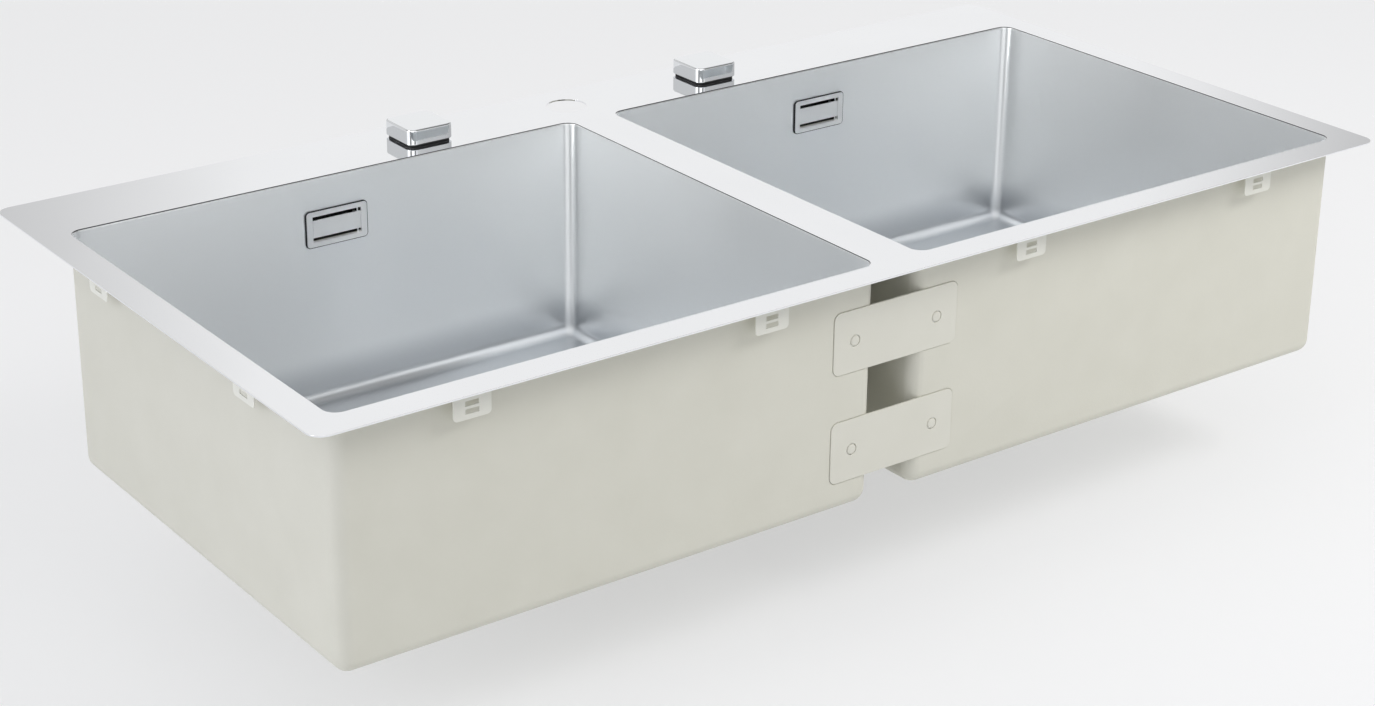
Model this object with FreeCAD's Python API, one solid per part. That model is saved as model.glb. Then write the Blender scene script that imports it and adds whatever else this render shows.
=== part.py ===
import FreeCAD, Part
import math
import os

# Inset kitchen sink with two bowls. All lengths are in millimetres.
# The origin is at the middle of the rim, on the worktop: +X along the sink, +Y to the back, +Z up.

vector = FreeCAD.Vector
y_axis = vector(0, 1, 0)
z_axis = vector(0, 0, 1)

# Deck: the flat rim plate
deck_thickness = 1.2
deck_corner_radius = 12.0
deck_edge_bevel = 0.4
side_margin = 27.0
front_margin = 27.0
back_ledge = 77.5

# Bowls: pressed sheet, welded flush into the deck
bowl_length = 463.0
bowl_width = 405.5
bowl_depth = 196.0
bowl_spacing = 43.8
bowl_wall = 1.0
bowl_corner_radius = 10.0
bowl_foot_radius = 10.0
rim_bevel_share = 0.6
floor_land = 4.0
floor_fall = 3.0
dish_depth = 4.0

# Sound-deadening coat on the outside of the bowls
coat_thickness = 0.8
coat_bare_margin = 4.0

# Sealing tape under the rim
tape_thickness = 1.0
tape_width = 7.0
tape_inset = 3.0

# Tap hole and knobs, on the middle line of the back ledge
tap_hole_radius = 17.5
knob_offset = 150.0

# Fixing tabs: angle pieces under the deck, each with two slots
tab_width = 30.5
tab_thickness = 1.0
tab_drop = 24.0
tab_inset = 15.0
tab_foot = 7.5
tab_corner_radius = 3.5
slot_length = 11.0
slot_height = 3.6
slot_pitch = 5.9
slot_rise = 4.0
front_tab_shares = (-0.375, -0.125, 0.125, 0.375)
back_tab_shares = (-0.375, -0.07, 0.07, 0.375)
side_tab_shares = (-0.25, 0.2)

# Brace plates that join the two bowls, front and back
brace_overlap = 39.0
brace_height = 51.0
brace_thickness = 1.5
brace_corner_radius = 6.0
brace_height_shares = (0.29, 0.75)
weld_radius = 4.75
weld_inset = 18.6
weld_crown = 0.4

# Overflow: cover inside the bowl, housing and pipe behind it
overflow_drop = 43.8
cover_length = 56.0
cover_height = 30.5
cover_thickness = 1.6
cover_corner_radius = 3.0
cover_side_border = 5.5
cover_top_border = 4.3
cover_slot = 3.4
cover_post = 1.0
cover_post_inset = 2.4
panel_recess = 0.8
panel_thickness = 0.8
overflow_hole_border = 4.5
hook_width = 8.0
hook_thickness = 1.6
hook_reach = 5.0
hook_barb = 0.8
overflow_gasket_thickness = 2.0
gasket_border = 5.0
housing_depth = 22.0
housing_wall = 2.0
housing_flange = 3.0
spigot_radius = 9.0
spigot_wall = 2.0
spigot_length = 14.0
pipe_wall = 1.6

# Waste: flange with cup, seals, ring nut and lower body
flange_width = 13.0
flange_thickness = 1.5
flange_seal_thickness = 1.0
dish_clearance = 1.5
cup_radius = 43.0
cup_wall = 1.5
cup_depth = 38.0
cup_floor = 2.0
seat_width = 22.5
spider_arm_width = 4.0
spider_arm_count = 3
hub_radius = 5.5
hub_drop = 8.0
waste_gasket_thickness = 2.0
ring_nut_width = 10.0
ring_nut_height = 9.0
ring_nut_lug_width = 7.0
ring_nut_lug_depth = 4.0
ring_nut_lug_count = 8
body_collar_wall = 4.5
body_gap = 2.0
body_seal_thickness = 2.0
body_seal_width = 6.0
body_wall = 2.5
body_chamber_margin = 3.0
outlet_radius = 23.9
outlet_wall = 3.2
outlet_length = 26.0
port_reach = 24.0
gland_radius = 4.0
gland_bore_radius = 2.6
gland_length = 16.0

# Strainer basket, its seal and the pin that lifts it
basket_clearance = 3.5
basket_rim_width = 2.8
basket_wall = 1.0
basket_recess = 6.5
basket_slot_count = 12
basket_slot_width = 4.0
basket_slot_height = 14.0
basket_hole_length = 4.5
strainer_seal_width = 13.0
grip_radius = 7.0
grip_height = 5.0
grip_stem_radius = 3.0
strainer_seal_thickness = 3.0
strainer_seal_overlap = 6.0
lifter_radius = 3.0
lifter_travel = 8.0
lifter_foot_radius = 5.0
lifter_foot_height = 2.0

# Knob: cap, insert, spindle with drum, housing with neck, lid, washer and nut
cap_width = 43.5
cap_height = 13.0
cap_gap = 2.2
cap_wall = 1.75
cap_top = 1.6
cap_corner_radius = 7.0
cap_edge_bevel = 0.7
insert_socket_roof = 1.5
spindle_radius = 4.0
drum_radius = 12.0
drum_height = 8.0
drum_groove_depth = 2.0
drum_groove_width = 3.0
neck_radius = 10.0
neck_spare = 1.0
knob_nut_across = 26.0
knob_nut_height = 3.0
knob_washer_thickness = 1.5
housing_width = 32.0
drum_housing_wall = 2.2
lid_thickness = 2.0
drum_gap = 1.0
socket_flat_share = 0.7

# Fits
thread_clearance = 0.1
slip_clearance = 0.1
running_clearance = 0.05
rest_gap = 0.2
seat_gap = 0.3
hole_clearance = 1.0
overrun = 5.0
match_tolerance = 0.001

# Derived places
deck_length = bowl_length + bowl_length + bowl_spacing + side_margin + side_margin
deck_width = front_margin + bowl_width + back_ledge
deck_under = tape_thickness
deck_top = deck_under + deck_thickness
bowl_y = front_margin + bowl_width / 2 - deck_width / 2
bowl_front = bowl_y - bowl_width / 2
bowl_back = bowl_y + bowl_width / 2
ledge_y = deck_width / 2 - back_ledge / 2
shell_growth = bowl_wall + coat_thickness
coat_back = bowl_back + shell_growth
floor_z = deck_top - bowl_depth
flange_radius = cup_radius + flange_width
seat_hole_radius = cup_radius - cup_wall - seat_width
strainer_seal_radius = seat_hole_radius + strainer_seal_overlap
basket_boss_radius = strainer_seal_radius - strainer_seal_width
basket_rim_radius = cup_radius - cup_wall - basket_clearance
basket_radius = basket_rim_radius - basket_rim_width
dish_radius = flange_radius + dish_clearance
dish_floor_z = floor_z - floor_fall - dish_depth
dish_under_z = dish_floor_z - bowl_wall
flange_under_z = dish_floor_z + flange_seal_thickness
flange_top_z = flange_under_z + flange_thickness
cup_bottom_z = flange_top_z - cup_depth
seat_z = cup_bottom_z + cup_floor
gasket_under_z = dish_under_z - waste_gasket_thickness
nut_under_z = gasket_under_z - ring_nut_height
body_top_z = nut_under_z - body_gap
body_shoulder_z = cup_bottom_z - body_seal_thickness
collar_radius = cup_radius + body_collar_wall
chamber_radius = cup_radius - body_seal_width
body_chamber_height = spigot_radius + spigot_radius + body_chamber_margin + body_chamber_margin
chamber_floor_z = body_shoulder_z - body_chamber_height
chamber_under_z = chamber_floor_z - body_wall
outlet_end_z = chamber_under_z - outlet_length
port_z = body_shoulder_z - body_chamber_height / 2
overflow_z = deck_top - overflow_drop
overflow_hole_length = cover_length - overflow_hole_border - overflow_hole_border
overflow_hole_height = cover_height - overflow_hole_border - overflow_hole_border
gasket_length = overflow_hole_length + gasket_border + gasket_border
gasket_height = overflow_hole_height + gasket_border + gasket_border
overflow_gasket_back = coat_back + overflow_gasket_thickness
pipe_bore = spigot_radius + slip_clearance
pipe_radius = pipe_bore + pipe_wall
pipe_y = overflow_gasket_back + housing_depth / 2
housing_bottom_z = overflow_z - gasket_height / 2
drum_housing_top_z = deck_under - knob_washer_thickness
drum_z = drum_housing_top_z - drum_housing_wall - running_clearance - drum_height
lid_z = drum_z - rest_gap - lid_thickness
cap_low_z = deck_top + cap_gap
cap_top_z = cap_low_z + cap_height
insert_top_z = cap_top_z - cap_top
neck_top_z = deck_top + knob_nut_height + neck_spare
insert_clear_z = neck_top_z + hole_clearance
insert_hollow_half = knob_nut_across / math.sqrt(3) + seat_gap
spindle_top_z = insert_top_z - insert_socket_roof
strainer_seal_low_z = seat_z + rest_gap
basket_low_z = strainer_seal_low_z + strainer_seal_thickness
basket_top_z = flange_top_z - basket_recess
boss_low_z = strainer_seal_low_z + seat_gap
lifter_top_z = boss_low_z - rest_gap
lifter_low_z = cup_bottom_z - hub_drop - lifter_travel - hole_clearance - lifter_foot_height
chamber_outer_radius = chamber_radius + body_wall
port_tip_y = bowl_y + chamber_outer_radius + port_reach
pipe_end_y = port_tip_y - spigot_length
pipe_top_z = housing_bottom_z - rest_gap
drum_chamber_radius = drum_radius + drum_gap
drum_middle_z = drum_z + drum_height / 2


# Solid block with its corners at two points
def block(low, high):
    return Part.makeBox(high.x - low.x, high.y - low.y, high.z - low.z, low)


# Block centred on a point, with its four upright corners rounded
def rounded_block(x, y, low_z, length, width, height, radius):
    low = vector(x - length / 2, y - width / 2, low_z)
    body = Part.makeBox(length, width, height, low)
    return body.makeFillet(radius, upright_edges(body))


# Plate standing across Y, centred on a point of its front face, with rounded corners
def standing_plate(x, front_y, z, length, height, thickness, radius):
    body = Part.makeBox(length, thickness, height, vector(x - length / 2, front_y, z - height / 2))
    corners = []
    for edge in body.Edges:
        box = edge.BoundBox
        if box.XLength < match_tolerance and box.ZLength < match_tolerance:
            corners.append(edge)
    return body.makeFillet(radius, corners)


# Round bar along +Z
def bar(x, y, low_z, high_z, radius):
    return Part.makeCylinder(radius, high_z - low_z, vector(x, y, low_z))


# Round tube along +Z
def tube(x, y, low_z, high_z, radius, bore):
    return bar(x, y, low_z, high_z, radius).cut(bar(x, y, low_z - overrun, high_z + overrun, bore))


# Solid turned about the upright axis at x, y from an outline of radius and height pairs
def turned(x, y, outline):
    points = [vector(x + r, y, z) for r, z in outline]
    wire = Part.makePolygon(points + points[:1])
    return Part.Face(wire).revolve(vector(x, y, 0), z_axis, 360)


# Copies of a solid placed evenly round an upright axis
def ring_of(solid, x, y, count):
    copies = []
    for index in range(count):
        copy = solid.copy()
        copy.rotate(vector(x, y, 0), z_axis, 360.0 * index / count)
        copies.append(copy)
    return copies


def upright_edges(solid):
    found = []
    for edge in solid.Edges:
        box = edge.BoundBox
        if box.XLength < match_tolerance and box.YLength < match_tolerance:
            found.append(edge)
    return found


def level_edges(solid, z):
    found = []
    for edge in solid.Edges:
        box = edge.BoundBox
        if abs(box.ZMin - z) < match_tolerance and abs(box.ZMax - z) < match_tolerance:
            found.append(edge)
    return found


def save(name, shape):
    shape.exportStep(os.path.join("parts", name + ".step"))


def save_group(name, solids):
    save(name, Part.makeCompound(solids))


# Four-sided funnel of flat faces from a rectangle down to a smaller square
def funnel(x, y, high_z, low_z, length, width, foot):
    def ring(z, half_length, half_width):
        return [
            vector(x - half_length, y - half_width, z),
            vector(x + half_length, y - half_width, z),
            vector(x + half_length, y + half_width, z),
            vector(x - half_length, y + half_width, z),
        ]

    top = ring(high_z, length / 2, width / 2)
    low = ring(low_z, foot / 2, foot / 2)
    loops = [top, low]
    for index in range(4):
        after = (index + 1) % 4
        loops.append([top[index], top[after], low[after], low[index]])
    faces = [Part.Face(Part.makePolygon(loop + loop[:1])) for loop in loops]
    solid = Part.Solid(Part.Shell(faces))
    if solid.Volume < 0:
        solid.reverse()
    return solid


# Pan with rounded upright corners and a rounded foot; the larger rounding is made first
def rounded_pan(x, y, low_z, high_z, length, width, corner_radius, foot_radius):
    pan = Part.makeBox(length, width, high_z - low_z, vector(x - length / 2, y - width / 2, low_z))
    if foot_radius > corner_radius:
        pan = pan.makeFillet(foot_radius, level_edges(pan, low_z))
        return pan.makeFillet(corner_radius, upright_edges(pan))
    pan = pan.makeFillet(corner_radius, upright_edges(pan))
    return pan.makeFillet(foot_radius, level_edges(pan, low_z))


# Space inside a bowl, grown outwards by the thickness of what lies round it
def bowl_form(x, growth, high_z):
    low_z = floor_z - growth
    pan = rounded_pan(
        x, bowl_y, low_z, high_z,
        bowl_length + growth + growth, bowl_width + growth + growth,
        bowl_corner_radius + growth, bowl_foot_radius + growth,
    )
    border = bowl_foot_radius + floor_land
    slope = funnel(
        x, bowl_y, low_z, low_z - floor_fall,
        bowl_length - border - border, bowl_width - border - border, dish_radius * math.sqrt(2),
    )
    dish = bar(x, bowl_y, dish_floor_z - growth, floor_z, dish_radius + growth)
    return pan.fuse([slope, dish]).removeSplitter()


# Opening through the back wall behind the overflow cover
def overflow_hole(x):
    return standing_plate(
        x, bowl_back - overrun, overflow_z, overflow_hole_length, overflow_hole_height,
        overrun + shell_growth + overrun, cover_corner_radius,
    )


# Deck plate with openings for the bowls, the tap and the knobs
def make_deck():
    plate = rounded_block(0, 0, deck_under, deck_length, deck_width, deck_thickness, deck_corner_radius)
    plate = plate.makeChamfer(deck_edge_bevel, level_edges(plate, deck_top))
    cuts = [bar(0, ledge_y, -overrun, deck_top + overrun, tap_hole_radius)]
    for side in (-1, 1):
        cuts.append(bar(side * knob_offset, ledge_y, -overrun, deck_top + overrun, neck_radius + seat_gap))
        cuts.append(rounded_block(
            bowl_x(side), bowl_y, -overrun,
            bowl_length + bowl_wall + bowl_wall, bowl_width + bowl_wall + bowl_wall,
            deck_top + overrun + overrun, bowl_corner_radius + bowl_wall,
        ))
    return plate.cut(cuts)


def bowl_x(side):
    return side * (bowl_spacing + bowl_length) / 2


# Sheet bowl with an eased lip, a floor that falls to the waste, and its two openings
def make_bowl(side):
    x = bowl_x(side)
    shell = bowl_form(x, bowl_wall, deck_top).cut(bowl_form(x, 0, deck_top + overrun))
    half_length = bowl_length / 2 + bowl_wall / 2
    half_width = bowl_width / 2 + bowl_wall / 2
    lip = []
    for edge in level_edges(shell, deck_top):
        box = edge.BoundBox
        inside_x = box.XMin > x - half_length and box.XMax < x + half_length
        inside_y = box.YMin > bowl_y - half_width and box.YMax < bowl_y + half_width
        if inside_x and inside_y:
            lip.append(edge)
    shell = shell.makeChamfer(bowl_wall * rim_bevel_share, lip)
    drain = bar(x, bowl_y, dish_under_z - overrun, floor_z, cup_radius + hole_clearance)
    return shell.cut([drain, overflow_hole(x)])


# Coat on the outside of a bowl, left bare round the waste and under the braces and their welds
def make_coat(side, fittings):
    x = bowl_x(side)
    skin = bowl_form(x, shell_growth, deck_under).cut(bowl_form(x, bowl_wall, deck_top + overrun))
    bare_radius = dish_radius + shell_growth + coat_bare_margin
    bare = bar(x, bowl_y, dish_under_z - overrun, floor_z, bare_radius)
    return skin.cut([bare, overflow_hole(x)] + fittings)


# Foam tape under the edge of the deck
def make_tape():
    def outline(inset):
        return rounded_block(
            0, 0, 0, deck_length - inset - inset, deck_width - inset - inset, tape_thickness,
            max(deck_corner_radius - inset, deck_edge_bevel),
        )

    return outline(tape_inset).cut(outline(tape_inset + tape_width))


# Fixing tab at the front edge, drawn at x = 0: a foot under the deck and a slotted leaf
def make_tab():
    y = tab_inset - deck_width / 2
    low_z = deck_under - tab_drop
    leaf = Part.makeBox(tab_width, tab_thickness, tab_drop, vector(-tab_width / 2, y, low_z))
    corners = []
    for edge in leaf.Edges:
        box = edge.BoundBox
        if box.XLength < match_tolerance and box.ZMax < low_z + match_tolerance:
            corners.append(edge)
    leaf = leaf.makeFillet(tab_corner_radius, corners)
    foot = Part.makeBox(
        tab_width, tab_foot, tab_thickness, vector(-tab_width / 2, y, deck_under - tab_thickness)
    )
    slots = []
    for index in range(2):
        z = low_z + slot_rise + index * slot_pitch
        low = vector(-slot_length / 2, y - overrun, z)
        slots.append(block(low, vector(slot_length / 2, y + tab_thickness + overrun, z + slot_height)))
    return leaf.fuse(foot).removeSplitter().cut(slots)


def moved(solid, x, y, turn):
    copy = solid.copy()
    copy.rotate(vector(0, 0, 0), z_axis, turn)
    copy.translate(vector(x, y, 0))
    return copy


def make_tabs():
    tab = make_tab()
    shift = (deck_length - deck_width) / 2
    save_group("fixing_tabs_front", [moved(tab, deck_length * share, 0, 0) for share in front_tab_shares])
    save_group("fixing_tabs_back", [moved(tab, deck_length * share, 0, 180) for share in back_tab_shares])
    side_places = [deck_width * share for share in side_tab_shares]
    save_group("fixing_tabs_left", [moved(tab, -shift, y, 270) for y in side_places])
    save_group("fixing_tabs_right", [moved(tab, shift, y, 90) for y in side_places])


# Places of the four plug welds of the brace plates on one side of the sink
def weld_places():
    places = []
    for share in brace_height_shares:
        for side in (-1, 1):
            places.append((side * (bowl_spacing / 2 + weld_inset), deck_top - bowl_depth * share))
    return places


# Brace plates across the gap between the bowls, with round holes for the welds
def make_braces(wall_y, outward):
    plates = []
    front_y = wall_y if outward > 0 else wall_y - brace_thickness
    length = bowl_spacing + brace_overlap + brace_overlap
    holes = []
    for x, z in weld_places():
        holes.append(Part.makeCylinder(
            weld_radius, brace_thickness + overrun + overrun, vector(x, front_y - overrun, z), y_axis
        ))
    for share in brace_height_shares:
        z = deck_top - bowl_depth * share
        plate = standing_plate(0, front_y, z, length, brace_height, brace_thickness, brace_corner_radius)
        plates.append(plate.cut(holes))
    return plates


# Plug welds that fill the holes of the brace plates, each with a low crown
def make_welds(wall_y, outward):
    welds = []
    for x, z in weld_places():
        welds.append(Part.makeCylinder(
            weld_radius, brace_thickness + weld_crown, vector(x, wall_y, z), vector(0, outward, 0)
        ))
    return welds


# Overflow cover: raised frame, set-back panel with a slot above and below it, and two snap hooks
def make_overflow_cover(x):
    front_y = bowl_back - cover_thickness
    window_length = cover_length - cover_side_border - cover_side_border
    window_height = cover_height - cover_top_border - cover_top_border
    cover = standing_plate(
        x, front_y, overflow_z, cover_length, cover_height, cover_thickness, cover_corner_radius
    )
    window_half = vector(window_length / 2, 0, window_height / 2)
    middle = vector(x, front_y, overflow_z)
    through = vector(0, cover_thickness + overrun, 0)
    cover = cover.cut(block(middle - window_half - vector(0, overrun, 0), middle + window_half + through))
    panel_y = front_y + panel_recess
    panel_half = vector(window_length / 2, 0, window_height / 2 - cover_slot)
    panel_middle = vector(x, panel_y, overflow_z)
    panel_depth = vector(0, panel_thickness, 0)
    pieces = [block(panel_middle - panel_half, panel_middle + panel_half + panel_depth)]
    post_x = x + window_length / 2 - cover_post_inset
    pieces.append(block(
        vector(post_x - cover_post, panel_y, overflow_z - window_height / 2),
        vector(post_x, panel_y + panel_thickness, overflow_z + window_height / 2),
    ))
    for side in (-1, 1):
        pieces.append(make_hook(x, side, panel_y))
    return cover.fuse(pieces).removeSplitter()


# Snap hook of the overflow cover with its barb
def make_hook(x, side, start_y):
    outer_x = x + side * (overflow_hole_length / 2 - slip_clearance - slip_clearance)
    inner_x = outer_x - side * hook_thickness
    barb_x = outer_x + side * hook_barb
    tip_y = overflow_gasket_back + housing_flange + hook_reach
    low_z = overflow_z - hook_width / 2
    high_z = overflow_z + hook_width / 2
    arm = block(
        vector(min(outer_x, inner_x), start_y, low_z), vector(max(outer_x, inner_x), tip_y, high_z)
    )
    barb = block(
        vector(min(inner_x, barb_x), tip_y - hook_thickness, low_z),
        vector(max(inner_x, barb_x), tip_y, high_z),
    )
    return arm.fuse(barb)


# Plate with square corners standing across Y, centred on the overflow
def square_plate(x, front_y, length, height, thickness):
    return block(
        vector(x - length / 2, front_y, overflow_z - height / 2),
        vector(x + length / 2, front_y + thickness, overflow_z + height / 2),
    )


# Rubber frame between the coat and the overflow housing
def make_overflow_gasket(x):
    frame = square_plate(x, coat_back, gasket_length, gasket_height, overflow_gasket_thickness)
    return frame.cut(square_plate(
        x, coat_back - overrun, overflow_hole_length, overflow_hole_height,
        overrun + overflow_gasket_thickness + overrun,
    ))


# Overflow housing: open box with a flange, pockets for the hooks and a spigot for the pipe
def make_overflow_housing(x):
    back_y = overflow_gasket_back
    flange = square_plate(x, back_y, gasket_length, gasket_height, housing_flange)
    case = square_plate(
        x, back_y, overflow_hole_length + housing_wall + housing_wall,
        overflow_hole_height + housing_wall + housing_wall, housing_depth,
    )
    spigot = bar(x, pipe_y, housing_bottom_z - spigot_length, overflow_z, spigot_radius)
    cavity = square_plate(
        x, back_y - overrun, overflow_hole_length, overflow_hole_height,
        overrun + housing_depth - housing_wall,
    )
    bore_low_z = housing_bottom_z - spigot_length - overrun
    bore = bar(x, pipe_y, bore_low_z, overflow_z, spigot_radius - spigot_wall)
    pocket_y = back_y + housing_flange + hook_reach
    pocket_half_x = overflow_hole_length / 2 + hook_barb
    pocket_half_z = hook_width / 2 + slip_clearance
    pocket = block(
        vector(x - pocket_half_x, pocket_y - hook_thickness - slip_clearance, overflow_z - pocket_half_z),
        vector(x + pocket_half_x, pocket_y + slip_clearance, overflow_z + pocket_half_z),
    )
    return flange.fuse([case, spigot]).removeSplitter().cut([cavity, bore, pocket])


# Run of the overflow pipe as a solid rod: down, round a knuckle and forward to the waste
def pipe_run(x, radius, end_overrun):
    drop = bar(x, pipe_y, port_z, pipe_top_z + end_overrun, radius)
    knuckle = Part.makeSphere(radius, vector(x, pipe_y, port_z))
    length = pipe_y - pipe_end_y + end_overrun
    run = Part.makeCylinder(radius, length, vector(x, pipe_y, port_z), vector(0, -1, 0))
    return drop.fuse([knuckle, run])


def make_overflow_pipe(x):
    return pipe_run(x, pipe_radius, 0).cut(pipe_run(x, pipe_bore, overrun))


# Waste flange with the wall of its cup
def make_waste_flange(x):
    inner = cup_radius - cup_wall
    return turned(x, bowl_y, [
        (cup_radius, flange_under_z),
        (flange_radius, flange_under_z),
        (flange_radius, flange_top_z),
        (inner, flange_top_z),
        (inner, seat_z),
        (cup_radius, seat_z),
    ])


# Seat that closes the cup round the edge, with the spider that guides the lifter pin
def make_waste_seat(x):
    ring = tube(x, bowl_y, cup_bottom_z, seat_z, cup_radius, seat_hole_radius)
    arm = block(
        vector(x, bowl_y - spider_arm_width / 2, cup_bottom_z),
        vector(x + seat_hole_radius + cup_wall, bowl_y + spider_arm_width / 2, seat_z),
    )
    hub = bar(x, bowl_y, cup_bottom_z - hub_drop, seat_z, hub_radius)
    bore = bar(
        x, bowl_y, cup_bottom_z - hub_drop - overrun, seat_z + overrun, lifter_radius + running_clearance
    )
    return ring.fuse(ring_of(arm, x, bowl_y, spider_arm_count) + [hub]).removeSplitter().cut(bore)


# Ring nut under the bowl with grip lugs round it
def make_ring_nut(x):
    radius = cup_radius + ring_nut_width
    ring = bar(x, bowl_y, nut_under_z, gasket_under_z, radius)
    lug = block(
        vector(x, bowl_y - ring_nut_lug_width / 2, nut_under_z),
        vector(x + radius + ring_nut_lug_depth, bowl_y + ring_nut_lug_width / 2, gasket_under_z),
    )
    bore = bar(x, bowl_y, nut_under_z - overrun, gasket_under_z + overrun, cup_radius + thread_clearance)
    return ring.fuse(ring_of(lug, x, bowl_y, ring_nut_lug_count)).removeSplitter().cut(bore)


# Threaded collar welded on top of the lower body
def make_waste_collar(x):
    return tube(x, bowl_y, body_shoulder_z, body_top_z, collar_radius, cup_radius + thread_clearance)


# Lower body of the waste: rim under the collar, chamber, outlet, overflow port and cable gland
def make_waste_body(x):
    outlet_bore = outlet_radius - outlet_wall
    outside = turned(x, bowl_y, [
        (0, body_shoulder_z),
        (collar_radius, body_shoulder_z),
        (collar_radius, body_shoulder_z - body_wall),
        (chamber_outer_radius, body_shoulder_z - body_wall),
        (chamber_outer_radius, chamber_under_z),
        (outlet_radius, chamber_under_z),
        (outlet_radius, outlet_end_z),
        (0, outlet_end_z),
    ])
    inside = turned(x, bowl_y, [
        (0, body_shoulder_z + overrun),
        (chamber_radius, body_shoulder_z + overrun),
        (chamber_radius, chamber_floor_z),
        (outlet_bore, chamber_floor_z),
        (outlet_bore, outlet_end_z - overrun),
        (0, outlet_end_z - overrun),
    ])
    middle = vector(x, bowl_y, port_z)
    port_length = port_tip_y - bowl_y
    gland_run = chamber_outer_radius + gland_length
    inwards = vector(-x, 0, 0)
    outside = outside.fuse([
        Part.makeCylinder(spigot_radius, port_length, middle, y_axis),
        Part.makeCylinder(gland_radius, gland_run, middle, inwards),
    ])
    bores = [
        Part.makeCylinder(spigot_radius - spigot_wall, port_length + overrun, middle, y_axis),
        Part.makeCylinder(gland_bore_radius, gland_run + overrun, middle, inwards),
    ]
    return outside.cut([inside] + bores)


# Strainer basket: slotted wall and floor, boss for the seal and a grip
def make_basket(x):
    basket = turned(x, bowl_y, [
        (0, basket_low_z),
        (basket_radius, basket_low_z),
        (basket_radius, basket_top_z - basket_wall),
        (basket_rim_radius, basket_top_z - basket_wall),
        (basket_rim_radius, basket_top_z),
        (basket_radius - basket_wall, basket_top_z),
        (basket_radius - basket_wall, basket_low_z + basket_wall),
        (0, basket_low_z + basket_wall),
    ])
    slot_low_z = (basket_low_z + basket_top_z - basket_slot_height) / 2
    slot = block(
        vector(x + basket_boss_radius, bowl_y - basket_slot_width / 2, slot_low_z),
        vector(x + cup_radius, bowl_y + basket_slot_width / 2, slot_low_z + basket_slot_height),
    )
    hole_x = x + (strainer_seal_radius + basket_radius - basket_wall - basket_hole_length) / 2
    hole = block(
        vector(hole_x, bowl_y - basket_slot_width / 2, basket_low_z - overrun),
        vector(hole_x + basket_hole_length, bowl_y + basket_slot_width / 2, basket_low_z + overrun),
    )
    cuts = ring_of(slot.fuse(hole), x, bowl_y, basket_slot_count)
    boss = bar(x, bowl_y, boss_low_z, basket_low_z, basket_boss_radius)
    stem = bar(x, bowl_y, basket_low_z, basket_top_z - grip_height, grip_stem_radius)
    grip = bar(x, bowl_y, basket_top_z - grip_height, basket_top_z, grip_radius)
    return basket.cut(cuts).fuse([boss, stem, grip]).removeSplitter()


# Pin that the cable pushes up under the basket, with its foot
def make_lifter(x):
    pin = bar(x, bowl_y, lifter_low_z, lifter_top_z, lifter_radius)
    foot = bar(x, bowl_y, lifter_low_z, lifter_low_z + lifter_foot_height, lifter_foot_radius)
    return pin.fuse(foot).removeSplitter()


# Square block centred on a knob
def square_box(x, low_z, high_z, half_width):
    return block(
        vector(x - half_width, ledge_y - half_width, low_z),
        vector(x + half_width, ledge_y + half_width, high_z),
    )


# Chrome cap of a knob: square with rounded corners, open underneath
def make_knob_cap(x):
    cap = rounded_block(x, ledge_y, cap_low_z, cap_width, cap_width, cap_height, cap_corner_radius)
    cap = cap.makeChamfer(cap_edge_bevel, level_edges(cap, cap_top_z))
    inside = cap_width - cap_wall - cap_wall
    pocket = rounded_block(
        x, ledge_y, cap_low_z - overrun, inside, inside, overrun + cap_height - cap_top,
        cap_corner_radius - cap_wall,
    )
    return cap.cut(pocket)


# Part of the spindle that turns the knob: round with one flat
def spindle_key(x, low_z, high_z, growth):
    key = bar(x, ledge_y, low_z, high_z, spindle_radius + growth)
    flat_x = x + spindle_radius * socket_flat_share + growth
    reach = spindle_radius + growth + overrun
    return key.cut(block(
        vector(flat_x, ledge_y - reach, low_z - overrun),
        vector(flat_x + reach, ledge_y + reach, high_z + overrun),
    ))


# Black insert inside the cap; its lower edge shows as the dark band under the knob
def make_knob_insert(x):
    width = cap_width - cap_wall - cap_wall - slip_clearance - slip_clearance
    low_z = deck_top + seat_gap
    insert = rounded_block(
        x, ledge_y, low_z, width, width, insert_top_z - low_z, cap_corner_radius - cap_wall - slip_clearance
    )
    hollow = square_box(x, low_z - overrun, insert_clear_z, insert_hollow_half)
    socket = spindle_key(x, insert_clear_z - overrun, spindle_top_z + slip_clearance, slip_clearance)
    return insert.cut([hollow, socket])


# Spindle in one piece with the drum that winds the pull cable
def make_knob_spindle(x):
    groove = drum_radius - drum_groove_depth
    round_top_z = insert_clear_z - slip_clearance
    lower = turned(x, ledge_y, [
        (0, drum_z),
        (drum_radius, drum_z),
        (drum_radius, drum_middle_z - drum_groove_width / 2),
        (groove, drum_middle_z - drum_groove_width / 2),
        (groove, drum_middle_z + drum_groove_width / 2),
        (drum_radius, drum_middle_z + drum_groove_width / 2),
        (drum_radius, drum_z + drum_height),
        (spindle_radius, drum_z + drum_height),
        (spindle_radius, round_top_z),
        (0, round_top_z),
    ])
    return lower.fuse(spindle_key(x, round_top_z, spindle_top_z, 0))


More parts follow.
